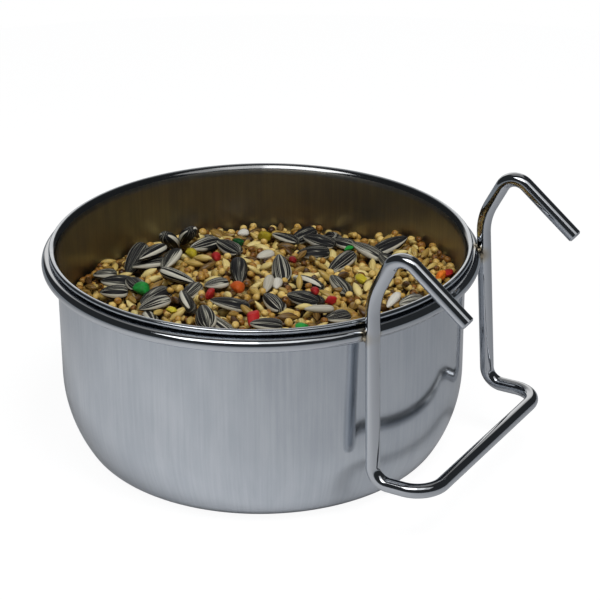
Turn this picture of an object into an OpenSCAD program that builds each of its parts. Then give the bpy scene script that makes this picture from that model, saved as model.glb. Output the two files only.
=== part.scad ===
// Steel seed cup that lifts out of a wire ring with a double-hook hanger, filled with a seed mix.
// The cup's axis is Z, its base stands on Z = 0 and the hanger is on the +X side.

/* [Cup] */
// Outer diameter of the straight wall
cup_d = 116.5; // [100:0.5:130]
// Height from the underside of the base to the top of the lip
cup_h = 62.2; // [56:0.1:80]
// Thickness of the steel sheet
sheet_t = 0.6; // [0.4:0.05:0.9]
// How far the edge of the flat base lies in from the wall
base_inset = 12.45; // [11:0.05:15]
// Outer radius of the curve below the straight wall
belly_r = 40; // [34:0.5:46]
// Outer radius of the heel round the base
heel_r = 8; // [6:0.1:10]
// Diameter of the rolled lip
lip_roll_d = 1.6; // [1.4:0.05:1.8]
// Radius inside the cup of the flare above the straight wall
flare_r = 5; // [4.6:0.1:6]
// Radius inside the cup of the curl from the flare to the lip
curl_r = 2.5; // [2.2:0.1:3]
// Angle through which the flare turns out from the wall
flare_turn = 35; // [28:1:40]
// Angle out from the wall at which the curl ends in the lip
curl_turn = 62; // [54:1:70]

/* [Ring] */
// Diameter of the wire of the ring and the hanger
wire_d = 4; // [3.2:0.1:4.8]
// Clearance between the ring and the cup's wall
ring_fit = 0.25; // [0.2:0.05:0.4]
// How far the ring lies below its seat under the flare
ring_drop = 1.46; // [1:0.02:2]
// How deep the hanger's wire is pressed into the ring's wire at a weld
weld_sink = 0.88; // [0.6:0.02:1.1]
// Radius of the weld metal round a crossing
weld_r = 2.5; // [2.3:0.05:2.7]

/* [Hanger] */
// Distance between the legs, centre to centre, at the ring
leg_spacing = 64.9; // [54:0.1:76]
// Angle at which the legs lean out from the cup towards the foot
leg_lean = 2.18; // [1:0.02:4]
// Angle at which the legs spread towards the foot
leg_splay = 2.56; // [0:0.02:4]
// Height of the leg's upper bend above the ring
bend_rise = 10.97; // [9:0.01:14]
// Radius of the leg's upper bend, at the middle of the wire
leg_bend_r = 17.9; // [12:0.1:22]
// Height of the hook's corner above the leg's upper bend
hook_rise = 15.53; // [13:0.01:20]
// How far the hook's corner lies out from the leg's upper bend
hook_lean = 8.02; // [6:0.01:10]
// How far the hook's corner lies to the side of the leg's upper bend
hook_spread = 0.7; // [0:0.05:1.5]
// Radius of the hook's corner, at the middle of the wire
hook_bend_r = 4.8; // [3.6:0.1:6]
// How far the hook's tip reaches out from its corner
hook_reach = 20.11; // [16:0.01:26]
// How far the hook's tip drops below its corner
hook_drop = 15.93; // [12:0.01:20]
// Chamfer round the cut end of the wire
tip_chamfer = 0.4; // [0.2:0.05:0.7]
// Height of the foot's corner above the cup's base
foot_h = 16.44; // [12:0.01:24]
// Radius of the foot's corner, at the middle of the wire
foot_bend_r = 4.8; // [3.6:0.1:6]
// Length of the arm from the foot's corner to the bar
arm_l = 17.1; // [15:0.1:26]
// Rise of the arm towards the bar
arm_rise = 0.32; // [0:0.01:1]
// Radius of the bar's corner, at the middle of the wire
bar_bend_r = 7.8; // [5:0.1:9]

/* [Seed mix] */
// Height of the heap's edge above the cup's base
fill_h = 39; // [34:0.5:42]
// Rise of the heap from its edge to its middle
crown_h = 6.5; // [4:0.1:8]
// Rise of the bank of seed against the wall above the rest of the edge
bank_h = 8; // [6:0.1:9]
// Half of the bank's width along the wall
bank_w = 42; // [36:0.5:48]
// Angle round the cup from the hanger's middle to the bank's middle
bank_angle = 48; // [40:1:56]
// How far beyond the wall the bank's rounding has its highest point
bank_out = 5; // [3:0.5:8]
// Gap round the heap and among the grains
grain_gap = 0.2; // [0.1:0.05:0.4]
// Length of a sunflower seed
sunflower_l = 10.5; // [9:0.1:13]
// Width of a sunflower seed
sunflower_w = 5; // [4:0.1:6]
// Thickness of a sunflower seed
sunflower_t = 3.4; // [2.4:0.1:4]
// Diameter of a millet grain
millet_d = 2.4; // [1.8:0.1:2.5]
// Length of a canary seed
canary_l = 5.4; // [4:0.1:6]
// Diameter of a canary seed
canary_d = 2; // [1.6:0.1:2.2]
// Length of a white seed
white_l = 7; // [5.5:0.1:8]
// Width of a white seed
white_w = 3.8; // [3:0.1:4.2]
// Thickness of a white seed
white_t = 2.8; // [2:0.1:3.2]
// Diameter of a coloured pellet
pellet_d = 3.2; // [2.4:0.1:3.6]
// Length of a coloured pellet
pellet_l = 3; // [2:0.1:4]

/* [Hidden] */

// How far a cutting shape runs past what it cuts
cut_over = 1;
// How far a straight of the wire runs into the bend beside it
bend_lap = 0.2;
// How much the wire thickens on its radius in a bend
bend_swell = 0.03;
// How far the flare turns on into the curl and the wall beside it
turn_lap = 0.5;
lathe_fn = 128;
ring_fn = 720;
wire_fn = 64;
grain_fn = 24;

steel_colour = "lightsteelblue";
wire_colour = "silver";
weld_colour = "darkkhaki";

// Cup: the wall stands straight above the belly's arc, which runs through belly_angle into the heel
cup_r = cup_d / 2;
base_r = cup_r - base_inset;
belly_angle = acos((belly_r - base_inset) / (belly_r - heel_r));
belly_z = heel_r + (belly_r - heel_r) * sin(belly_angle);
wire_r = wire_d / 2;
lip_r = lip_roll_d / 2;
ring_r = cup_r + ring_fit + wire_r;
// Flare, curl and lip follow each other without a kink, so each middle is set from the next one's
flare_middle_r = cup_r - sheet_t + flare_r;
curl_middle_r = flare_middle_r - (flare_r - curl_r) * cos(flare_turn);
lip_middle_r = curl_middle_r - (curl_r - lip_r) * cos(curl_turn);
lip_z = cup_h - lip_r;
curl_z = lip_z - (curl_r - lip_r) * sin(curl_turn);
flare_z = curl_z - (flare_r - curl_r) * sin(flare_turn);
// The ring's wire would meet the outside of the flare at its seat
ring_seat_z = flare_z + sqrt(pow(flare_r - sheet_t - wire_r, 2) - pow(flare_middle_r - ring_r, 2));
ring_z = ring_seat_z - ring_drop;

// Hanger: each leg passes the ring's outside at the weld
leg_r = ring_r + wire_d - weld_sink;
weld_y = leg_spacing / 2;
weld_x = sqrt(pow(leg_r, 2) - pow(weld_y, 2));
weld_angle = atan2(weld_y, weld_x);
bend_z = ring_z + bend_rise;
bend_x = weld_x - bend_rise * tan(leg_lean);
bend_y = weld_y - bend_rise * tan(leg_splay);
foot_x = weld_x + (ring_z - foot_h) * tan(leg_lean);
foot_y = weld_y + (ring_z - foot_h) * tan(leg_splay);
hook_x = bend_x + hook_lean;
hook_y = bend_y + hook_spread;
hook_z = bend_z + hook_rise;
tip_x = hook_x + hook_reach;
tip_z = hook_z - hook_drop;
bar_x = foot_x + arm_l;
bar_z = foot_h + arm_rise;

// Middle of the wire on one side, from the hook's tip down to the bar, for side -1 or 1
function half_route(side) = [
    [tip_x, side * hook_y, tip_z],
    [hook_x, side * hook_y, hook_z],
    [bend_x, side * bend_y, bend_z],
    [foot_x, side * foot_y, foot_h],
    [bar_x, side * foot_y, bar_z]
];
half_bends = [0, hook_bend_r, leg_bend_r, foot_bend_r, bar_bend_r];
function reversed(list) = [for (i = [len(list) - 1 : -1 : 0]) list[i]];
route = concat(half_route(-1), reversed(half_route(1)));
route_bends = concat(half_bends, reversed(half_bends));

function unit(v) = v / norm(v);
function turn(a, b, c) = acos(unit(b - a) * unit(c - b));
// Length that the bend at point i takes from each straight beside it
function bend_trim(points, bends, i) =
    i == 0 || i == len(points) - 1
        ? 0
        : bends[i] * tan(turn(points[i - 1], points[i], points[i + 1]) / 2);

// Heap: its top is a cap of a sphere, with a bank that is a cap of a second sphere
heap_r = cup_r - sheet_t - grain_gap;
cap_r = (pow(heap_r, 2) + pow(crown_h, 2)) / (2 * crown_h);
cap_centre = [0, 0, fill_h + crown_h - cap_r];
bank_r = (pow(bank_w, 2) + pow(bank_h, 2)) / (2 * bank_h);
bank_centre = [
    (heap_r + bank_out) * cos(bank_angle),
    (heap_r + bank_out) * sin(bank_angle),
    fill_h + bank_h - sqrt(pow(bank_r, 2) - pow(bank_out, 2))
];

// The grains lie in slots along a golden-angle spiral
golden_angle = 137.508;
grain_turn = 1.5 * golden_angle;
slot_pitch = sunflower_l + grain_gap;
// The spiral's step as a share of the least distance between two slots
spiral_share = 0.65;
spiral_step = spiral_share * slot_pitch;
slot_count = floor(pow((heap_r - slot_pitch / 2) / spiral_step, 2));
slot_kinds = [
    "sunflower", "millet", "sunflower", "canary", "sunflower", "pellet",
    "sunflower", "millet", "white", "canary", "sunflower", "millet"
];
pellet_kinds = ["green", "yellow", "red", "orange", "red"];
function slot_kind(i) = slot_kinds[i % len(slot_kinds)];
function slot_pellet(i) = pellet_kinds[floor(i / len(slot_kinds))];
function slots_of(kind) = [for (i = [0 : slot_count - 1]) if (slot_kind(i) == kind) i];
function slot_x(i) = spiral_step * sqrt(i + 0.5) * cos(i * golden_angle);
function slot_y(i) = spiral_step * sqrt(i + 0.5) * sin(i * golden_angle);

// Point of a dome above a place in the cup
function dome_point(centre, r, x, y) =
    [x, y, centre.z + sqrt(max(0, pow(r, 2) - pow(x - centre.x, 2) - pow(y - centre.y, 2)))];
function cap_point(i) = dome_point(cap_centre, cap_r, slot_x(i), slot_y(i));
function bank_point(i) = dome_point(bank_centre, bank_r, slot_x(i), slot_y(i));
// Steepness at which the cap and the bank meet in the valley between them, as rise over run
valley_slope = 0.45;
// A grain this near the valley, measured in height, leans on both sides and lies higher by a share
valley_step = valley_slope * slot_pitch / 2;
valley_lift_share = 0.27;
function in_valley(i) = abs(cap_point(i).z - bank_point(i).z) < valley_step;
function cap_normal(i) = (cap_point(i) - cap_centre) / cap_r;
function bank_normal(i) = (bank_point(i) - bank_centre) / bank_r;
function slot_normal(i) =
    in_valley(i)
        ? unit(cap_normal(i) + bank_normal(i))
        : cap_point(i).z > bank_point(i).z ? cap_normal(i) : bank_normal(i);
function slot_point(i) =
    (cap_point(i).z > bank_point(i).z ? cap_point(i) : bank_point(i))
        + slot_normal(i) * (grain_gap + (in_valley(i) ? valley_lift_share * valley_step : 0));

// Places along a seed as shares of its length, each with its width as a share of the full width
seed_station_shares = [[0.1, 0.42], [0.32, 0.86], [0.58, 1], [0.82, 0.72], [0.96, 0.3]];
seed_sides = 8;
canary_per_slot = 4;
// How far every second canary seed is pushed along, as a share of its length
canary_stagger_share = 0.08;
millet_inner_count = 3;
millet_outer_count = 9;
millet_pitch = millet_d + grain_gap;
millet_inner_r = millet_pitch / 2 / sin(180 / millet_inner_count);
millet_outer_r = max(millet_pitch / 2 / sin(180 / millet_outer_count), millet_inner_r + millet_pitch);

// Part of a flat ring between two angles less than 180 degrees apart
module band_sector(inner, outer, from, to) {
    reach = 2 * outer;
    middle = (from + to) / 2;
    intersection() {
        difference() {
            circle(r = outer, $fn = lathe_fn);
            circle(r = inner, $fn = lathe_fn);
        }
        polygon([
            [0, 0],
            [reach * cos(from), reach * sin(from)],
            [reach * cos(middle), reach * sin(middle)],
            [reach * cos(to), reach * sin(to)]
        ]);
    }
}

// Half section of the cup's outer surface, drawn in by an inset and cut off level at the top
module cup_section(inset, top) {
    reach = 2 * belly_r;
    translate([0, inset])
        square([base_r, top - inset]);
    translate([base_r, heel_r])
        circle(r = heel_r - inset, $fn = lathe_fn);
    translate([0, belly_z])
        square([cup_r - inset, top - belly_z]);
    translate([cup_r - belly_r, belly_z])
        intersection() {
            circle(r = belly_r - inset, $fn = lathe_fn);
            polygon([
                [0, 0],
                [reach * cos(belly_angle), -reach * sin(belly_angle)],
                [reach, -reach * sin(belly_angle) / 2],
                [reach, 0]
            ]);
        }
}

module bowl() {
    color(steel_colour)
        rotate_extrude($fn = lathe_fn) {
            difference() {
                cup_section(0, flare_z);
                cup_section(sheet_t, flare_z + cut_over);
            }
            translate([flare_middle_r, flare_z])
                band_sector(flare_r - sheet_t, flare_r, 180 - flare_turn - turn_lap, 180 + turn_lap);
            translate([curl_middle_r, curl_z])
                band_sector(curl_r - sheet_t, curl_r, 180 - curl_turn, 180 - flare_turn);
            translate([lip_middle_r, lip_z])
                circle(r = lip_r, $fn = wire_fn);
        }
}

// Straight stretch of wire between two points, with a chamfer round its first end
module rod(from, to, chamfer = 0) {
    length = norm(to - from);
    along = unit(to - from);
    across = unit(cross(abs(along.y) < 0.9 ? [0, 1, 0] : [0, 0, 1], along));
    side = cross(along, across);
    multmatrix([
        [across.x, side.x, along.x, from.x],
        [across.y, side.y, along.y, from.y],
        [across.z, side.z, along.z, from.z],
        [0, 0, 0, 1]
    ])
        if (chamfer > 0)
            rotate_extrude($fn = wire_fn)
                polygon([[0, 0], [wire_r - chamfer, 0], [wire_r, chamfer], [wire_r, length], [0, length]]);
        else
            cylinder(r = wire_r, h = length, $fn = wire_fn);
}

// Bend of the wire at point b, on the way from a to c
module wire_bend(a, b, c, bend_r) {
    angle = turn(a, b, c);
    along = unit(b - a);
    axis = unit(cross(along, unit(c - b)));
    inward = cross(axis, along);
    centre = b - along * bend_r * tan(angle / 2) + inward * bend_r;
    multmatrix([
        [-inward.x, along.x, axis.x, centre.x],
        [-inward.y, along.y, axis.y, centre.y],
        [-inward.z, along.z, axis.z, centre.z],
        [0, 0, 0, 1]
    ])
        rotate_extrude(angle = angle, $fn = lathe_fn)
            translate([bend_r, 0])
                circle(r = wire_r + bend_swell, $fn = wire_fn);
}

// Point on the way from point i of the route to point j, just inside the bend at point i
function straight_end(i, j) =
    route[i] + unit(route[j] - route[i]) * (bend_trim(route, route_bends, i) - bend_lap);

module wire_hanger() {
    last = len(route) - 1;
    color(wire_colour) {
        rod(route[0], straight_end(1, 0), tip_chamfer);
        rod(route[last], straight_end(last - 1, last), tip_chamfer);
        for (i = [1 : last - 2])
            rod(straight_end(i, i + 1), straight_end(i + 1, i));
        for (i = [1 : last - 1])
            wire_bend(route[i - 1], route[i], route[i + 1], route_bends[i]);
    }
}

// Leg of one side as a plain rod, for what is shaped against it
module leg_rod(side) {
    points = half_route(side);
    rod(points[2], points[3]);
}

module ring_wire() {
    translate([0, 0, ring_z])
        rotate_extrude($fn = ring_fn)
            translate([ring_r, 0])
                circle(d = wire_d, $fn = wire_fn);
}

module wire_ring() {
    color(wire_colour)
        difference() {
            ring_wire();
            leg_rod(-1);
            leg_rod(1);
        }
}

// Weld metal in the corners where a leg crosses the ring
module weld(side) {
    color(weld_colour)
        difference() {
            rotate([0, 0, side * weld_angle])
                translate([(ring_r + leg_r) / 2, 0, ring_z])
                    sphere(r = weld_r, $fn = lathe_fn);
            ring_wire();
            leg_rod(side);
        }
}

module weld_near() {
    weld(-1);
}

module weld_far() {
    weld(1);
}

module seed_bed() {
    color("goldenrod")
        intersection() {
            rotate_extrude($fn = lathe_fn)
                intersection() {
                    cup_section(sheet_t + grain_gap, fill_h + crown_h + bank_h);
                    translate([0, sheet_t + grain_gap])
                        square([heap_r, fill_h + crown_h + bank_h]);
                }
            union() {
                translate(cap_centre)
                    sphere(r = cap_r, $fn = lathe_fn);
                translate(bank_centre)
                    sphere(r = bank_r, $fn = lathe_fn);
            }
        }
    color("goldenrod")
        translate([0, 0, sheet_t])
            cylinder(r = base_r - sheet_t, h = grain_gap, $fn = lathe_fn);
}

// Puts a shape that lies on Z = 0 on the heap in slot i
module on_heap(i) {
    normal = slot_normal(i);
    along = unit(cross([0, 1, 0], normal));
    side = cross(normal, along);
    place = slot_point(i);
    multmatrix([
        [along.x, side.x, normal.x, place.x],
        [along.y, side.y, normal.y, place.y],
        [along.z, side.z, normal.z, place.z],
        [0, 0, 0, 1]
    ])
        rotate([0, 0, i * grain_turn])
            children();
}

// Flattened pointed seed along X, lying on Z = 0
module seed_shell(length, width, thickness) {
    stations = len(seed_station_shares);
    rings = [
        for (s = seed_station_shares, k = [0 : seed_sides - 1]) [
            length * (s[0] - 0.5),
            width / 2 * s[1] * cos(360 * k / seed_sides),
            thickness / 2 * s[1] * sin(360 * k / seed_sides)
        ]
    ];
    points = concat([[-length / 2, 0, 0]], rings, [[length / 2, 0, 0]]);
    tip = len(points) - 1;
    last = tip - seed_sides;
    function side_point(s, k) = 1 + s * seed_sides + k % seed_sides;
    faces = concat(
        [for (k = [0 : seed_sides - 1]) [0, side_point(0, k), side_point(0, k + 1)]],
        [
            for (s = [0 : stations - 2], k = [0 : seed_sides - 1], half = [0, 1])
                half == 0
                    ? [side_point(s, k), side_point(s + 1, k), side_point(s + 1, k + 1)]
                    : [side_point(s, k), side_point(s + 1, k + 1), side_point(s, k + 1)]
        ],
        [for (k = [0 : seed_sides - 1]) [tip, last + (k + 1) % seed_sides, last + k]]
    );
    translate([0, 0, thickness / 2])
        polyhedron(points, faces);
}

module sunflower_seeds() {
    color("dimgray")
        for (i = slots_of("sunflower"))
            on_heap(i)
                seed_shell(sunflower_l, sunflower_w, sunflower_t);
}

module white_seeds() {
    color("ivory")
        for (i = slots_of("white"))
            on_heap(i)
                seed_shell(white_l, white_w, white_t);
}

// Millet grains spread round a circle
module millet_circle(count, r) {
    for (k = [0 : count - 1])
        rotate([0, 0, 360 * k / count])
            translate([r, 0, millet_d / 2])
                sphere(d = millet_d, $fn = grain_fn);
}

module millet_grains() {
    color("gold") {
        for (i = slots_of("millet"))
            on_heap(i) {
                millet_circle(millet_inner_count, millet_inner_r);
                millet_circle(millet_outer_count, millet_outer_r);
            }
        for (i = slots_of("pellet"))
            on_heap(i)
                millet_circle(millet_outer_count, millet_outer_r);
        for (i = slots_of("white"), side = [-1, 1])
            on_heap(i)
                translate([0, side * (white_w / 2 + grain_gap + millet_d / 2), millet_d / 2])
                    sphere(d = millet_d, $fn = grain_fn);
    }
}

module canary_grains() {
    pitch = canary_d + grain_gap;
    color("wheat")
        for (i = slots_of("canary"), k = [0 : canary_per_slot - 1])
            on_heap(i)
                translate([
                    (k % 2 - 0.5) * canary_stagger_share * canary_l,
                    (k - (canary_per_slot - 1) / 2) * pitch,
                    0
                ])
                    seed_shell(canary_l, canary_d, canary_d);
}

module pellets(kind) {
    for (i = slots_of("pellet"))
        if (slot_pellet(i) == kind)
            on_heap(i)
                cylinder(d = pellet_d, h = pellet_l, $fn = grain_fn);
}

module pellets_green() {
    color("green")
        pellets("green");
}

module pellets_yellow() {
    color("yellow")
        pellets("yellow");
}

module pellets_red() {
    color("red")
        pellets("red");
}

module pellets_orange() {
    color("darkorange")
        pellets("orange");
}

bowl();
wire_ring();
wire_hanger();
weld_near();
weld_far();
seed_bed();
millet_grains();
canary_grains();
sunflower_seeds();
white_seeds();
pellets_green();
pellets_yellow();
pellets_red();
pellets_orange();
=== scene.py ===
"""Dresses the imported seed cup: polished ring and hanger, satin cup and a heap of mixed seed.

Lengths are in metres. MM turns the millimetres in which the object was measured into metres.
"""
import math

import bpy
import numpy as np
from mathutils import Matrix, Vector


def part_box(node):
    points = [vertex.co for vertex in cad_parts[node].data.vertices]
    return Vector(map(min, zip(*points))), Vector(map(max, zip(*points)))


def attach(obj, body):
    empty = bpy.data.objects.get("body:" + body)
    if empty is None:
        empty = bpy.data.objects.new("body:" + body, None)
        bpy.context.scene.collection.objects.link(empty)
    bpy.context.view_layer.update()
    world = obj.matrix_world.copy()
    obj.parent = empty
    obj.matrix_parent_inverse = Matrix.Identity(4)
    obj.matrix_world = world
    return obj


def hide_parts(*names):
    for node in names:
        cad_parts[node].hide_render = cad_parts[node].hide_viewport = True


MM = 0.001
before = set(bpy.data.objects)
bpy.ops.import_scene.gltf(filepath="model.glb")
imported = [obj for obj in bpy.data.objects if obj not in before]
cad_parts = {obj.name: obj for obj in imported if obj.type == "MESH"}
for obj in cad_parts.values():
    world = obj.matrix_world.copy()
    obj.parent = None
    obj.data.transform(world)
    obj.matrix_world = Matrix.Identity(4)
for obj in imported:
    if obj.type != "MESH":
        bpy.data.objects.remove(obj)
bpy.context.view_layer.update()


# Camera, fitted to the photograph


CAMERA_AZIMUTH = math.radians(31.306)
CAMERA_ELEVATION = math.radians(24.901)
CAMERA_ROLL = math.radians(-0.256)
CAMERA_DISTANCE = 615.2 * MM
CAMERA_RIGHT = 10.78 * MM
CAMERA_UP = 38.971 * MM
CLIP_START = 10 * MM
FOCAL_PIXELS = 2067.3
FRAME_PIXELS = 600
SENSOR_MM = 36
# Level directions from the cup: towards the camera, and to the right as the camera sees it
BEFORE = Vector((math.sin(CAMERA_AZIMUTH), -math.cos(CAMERA_AZIMUTH), 0))
BESIDE = Vector((math.cos(CAMERA_AZIMUTH), math.sin(CAMERA_AZIMUTH), 0))
UPWARD = Vector((0, 0, 1))


def camera_axes():
    """The camera's right, up and back directions."""
    back = Vector((
        math.sin(CAMERA_AZIMUTH) * math.cos(CAMERA_ELEVATION),
        -math.cos(CAMERA_AZIMUTH) * math.cos(CAMERA_ELEVATION),
        math.sin(CAMERA_ELEVATION),
    ))
    upright = back.cross(BESIDE)
    right = BESIDE * math.cos(CAMERA_ROLL) + upright * math.sin(CAMERA_ROLL)
    up = upright * math.cos(CAMERA_ROLL) - BESIDE * math.sin(CAMERA_ROLL)
    return right, up, back


SIGHT_RIGHT, SIGHT_UP, SIGHT_BACK = camera_axes()
CAMERA_PLACE = SIGHT_RIGHT * CAMERA_RIGHT + SIGHT_UP * CAMERA_UP + SIGHT_BACK * CAMERA_DISTANCE


def add_camera():
    data = bpy.data.cameras.new("camera")
    data.sensor_width = SENSOR_MM
    data.lens = FOCAL_PIXELS / FRAME_PIXELS * SENSOR_MM
    data.clip_start = CLIP_START
    camera = bpy.data.objects.new("camera", data)
    bpy.context.collection.objects.link(camera)
    turn = Matrix((SIGHT_RIGHT, SIGHT_UP, SIGHT_BACK)).transposed()
    camera.matrix_world = Matrix.Translation(CAMERA_PLACE) @ turn.to_4x4()
    bpy.context.scene.camera = camera


# Shader nodes


class Tree:
    """The nodes of a material or world, with short ways to add and join them.

    A value given for an input is either a constant or the output that feeds it.
    """

    def __init__(self, owner):
        owner.use_nodes = True
        self.nodes, self.links = owner.node_tree.nodes, owner.node_tree.links

    def feed(self, socket, value):
        if isinstance(value, bpy.types.NodeSocket):
            self.links.new(value, socket)
        else:
            socket.default_value = value

    def fill(self, node, **values):
        """Sets a node's settings by name, and feeds its inputs where the name is an input's."""
        for key, value in values.items():
            if hasattr(node, key):
                setattr(node, key, value)
            else:
                self.feed(node.inputs[key.replace("_", " ")], value)
        return node

    def add(self, kind, *terms, **values):
        """Adds a node, feeds its first inputs in order, and returns its outputs."""
        node = self.fill(self.nodes.new("ShaderNode" + kind), **values)
        for socket, term in zip(node.inputs, terms):
            self.feed(socket, term)
        return node.outputs

    def math(self, operation, *terms):
        return self.add("Math", *terms, operation=operation)[0]

    def measure(self, operation, *vectors):
        """The number that a vector operation gives."""
        return self.add("VectorMath", *vectors, operation=operation)["Value"]

    def spread(self, value, low, high):
        """A value between 0 and 1, spread between low and high."""
        return self.add("MapRange", value, To_Min=low, To_Max=high)[0]

    def fade(self, value, start, end, first, last):
        """A smooth change from first to last while value goes from start to end."""
        return self.add("MapRange", value, start, end, first, last,
                        interpolation_type="SMOOTHSTEP")[0]

    def ramp(self, value, stops):
        """A colour by value, from stops of a value and a colour each."""
        outputs = self.add("ValToRGB", value)
        elements = outputs[0].node.color_ramp.elements
        while len(elements) < len(stops):
            elements.new(0.5)
        for element, (place, colour) in zip(elements, stops):
            element.position = place
            element.color = (*colour, 1)
        return outputs[0]

    def noise(self, vector, scale, detail, roughness=0.5):
        return self.add("TexNoise", vector, Scale=scale, Detail=detail, Roughness=roughness)["Fac"]

    def place(self):
        """Coordinates that stay with the object."""
        return self.add("TexCoord")["Object"]

    def bump(self, height, strength, distance=0.2 * MM):
        return self.add("Bump", Height=height, Strength=strength, Distance=distance)[0]


def new_material(name):
    material = bpy.data.materials.new(name)
    tree = Tree(material)
    return material, tree, tree.nodes["Principled BSDF"]


# Steel materials


def wall_coordinates(tree, around, upward):
    """Coordinates that run round the cup's axis and up its wall, for marks along the wall."""
    x, y, z = tree.add("SeparateXYZ", tree.place())
    join = tree.add("CombineXYZ", tree.math("ARCTAN2", y, x), z)
    return tree.add("Mapping", join[0], Scale=(around, upward, 1))[0]


def bowl_steel(name, dark, light, smooth, rough):
    """Satin stainless sheet with faint draw marks up the wall and soft smears."""
    material, tree, shader = new_material(name)
    marks = tree.noise(wall_coordinates(tree, 60, 25), 1, 6, 0.7)
    stains = tree.noise(wall_coordinates(tree, 7, 45), 1, 3, 0.6)
    tone = tree.math("MULTIPLY_ADD", marks, 0.6, tree.math("MULTIPLY", stains, 0.4))
    smears = tree.noise(tree.place(), 45, 3)
    tree.fill(
        shader,
        Metallic=1,
        Base_Color=tree.ramp(tone, [(0.42, dark), (0.6, light)]),
        Roughness=tree.spread(smears, smooth, rough),
        Normal=tree.bump(marks, 0.012),
    )
    return material


def wire_steel():
    """Polished wire with faint handling marks, tinted straw brown close to the welds."""
    material, tree, shader = new_material("wire_steel")
    place = tree.place()
    heats = [
        tree.fade(tree.measure("DISTANCE", place, weld_point(side)), 2.2 * MM, 4 * MM, 1, 0)
        for side in (-1, 1)
    ]
    marks = tree.noise(place, 260, 4)
    tints = [(0, (0.6, 0.62, 0.65)), (0.6, (0.54, 0.52, 0.47)), (1, (0.36, 0.32, 0.26))]
    tree.fill(
        shader,
        Metallic=1,
        Base_Color=tree.ramp(tree.math("MAXIMUM", *heats), tints),
        Roughness=tree.spread(marks, 0.04, 0.11),
        Normal=tree.bump(marks, 0.03),
    )
    return material


def weld_steel():
    """Bright, heat-tinted weld metal with a rippled skin."""
    material, tree, shader = new_material("weld_steel")
    ripple = tree.noise(tree.place(), 700, 3)
    tree.fill(
        shader,
        Metallic=1,
        Roughness=0.22,
        Base_Color=tree.ramp(ripple, [(0.35, (0.22, 0.17, 0.11)), (0.65, (0.5, 0.44, 0.33))]),
        Normal=tree.bump(ripple, 0.5, 0.3 * MM),
    )
    return material


# Meshes


def mesh_piece(name, points, faces, body, material, nodes, crease=40, marks=None):
    """A smooth-shaded mesh that rides on a body and stands for CAD nodes."""
    mesh = bpy.data.meshes.new(name)
    mesh.from_pydata([tuple(p) for p in points], [], [tuple(f) for f in faces])
    if marks is not None:
        grain = mesh.attributes.new("grain", "FLOAT_VECTOR", "POINT")
        grain.data.foreach_set("vector", np.asarray(marks, dtype=np.float32).ravel())
    mesh.shade_smooth()
    mesh.set_sharp_from_angle(angle=math.radians(crease))
    piece = bpy.data.objects.new(name, mesh)
    bpy.context.collection.objects.link(piece)
    mesh.materials.append(material)
    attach(piece, body)
    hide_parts(*nodes)
    return piece


def arc(centre, radius, start, end, count):
    """Points on an arc in a half section, with the angles in degrees from the outward level."""
    angles = np.radians(np.linspace(start, end, count))
    return [(centre[0] + radius * math.cos(a), centre[1] + radius * math.sin(a)) for a in angles]


def band_faces(rows, columns, first=0, closed=False):
    """Faces between rows of points, each row a closed loop. Closed joins the last to the first."""
    faces = []
    for j in range(rows if closed else rows - 1):
        a, b = first + j * columns, first + (j + 1) % rows * columns
        for k in range(columns):
            n = (k + 1) % columns
            faces.append((a + k, a + n, b + n, b + k))
    return faces


def spun_faces(rows, columns):
    """Faces of a closed form: one point, rows of points that loop round, and one last point."""
    last = 1 + rows * columns
    faces = band_faces(rows, columns, first=1)
    for k in range(columns):
        n = (k + 1) % columns
        faces.append((0, 1 + n, 1 + k))
        faces.append((last - columns + k, last - columns + n, last))
    return faces


def tube(centres, tangents, radii, sides, closed=False):
    """A round tube along centres, capped unless closed. Its section keeps one way up."""
    points = []
    across = Vector(tangents[0]).orthogonal().normalized()
    for centre, tangent, radius in zip(centres, tangents, radii):
        tangent = Vector(tangent).normalized()
        across = (across - tangent * across.dot(tangent)).normalized()
        side = tangent.cross(across)
        for k in range(sides):
            turn = 2 * math.pi * k / sides
            way = across * math.cos(turn) + side * math.sin(turn)
            points.append(Vector(centre) + radius * way)
    count = len(centres)
    faces = band_faces(count, sides, closed=closed)
    if not closed:
        faces.append(tuple(range(sides))[::-1])
        faces.append(tuple((count - 1) * sides + k for k in range(sides)))
    return points, faces


# Cup


CUP_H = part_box("bowl")[1].z
CUP_R = 58.25 * MM
SHEET_T = 0.6 * MM
BASE_R = 45.8 * MM
BELLY_R = 40 * MM
HEEL_R = 8 * MM
LIP_R = 0.8 * MM
FLARE_R = 4.1 * MM
CURL_R = 4 * MM
FLARE_TURN = 30
CURL_TURN = 50
CUP_SEGMENTS = 256
CUP_CREASE = 50
BASE_SHARES = (0, 0.2, 0.4, 0.6, 0.8, 0.95)
HEEL_POINTS = 14
BELLY_POINTS = 18
WALL_POINTS = 12
FLARE_POINTS, FLARE_OUTER_POINTS = 14, 10
CURL_POINTS, CURL_OUTER_POINTS = 9, 3
LIP_POINTS = 30
# Rows of the rim's inside below the lip that are polished, and painted darker as shade
RIM_ROWS = 8


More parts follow.
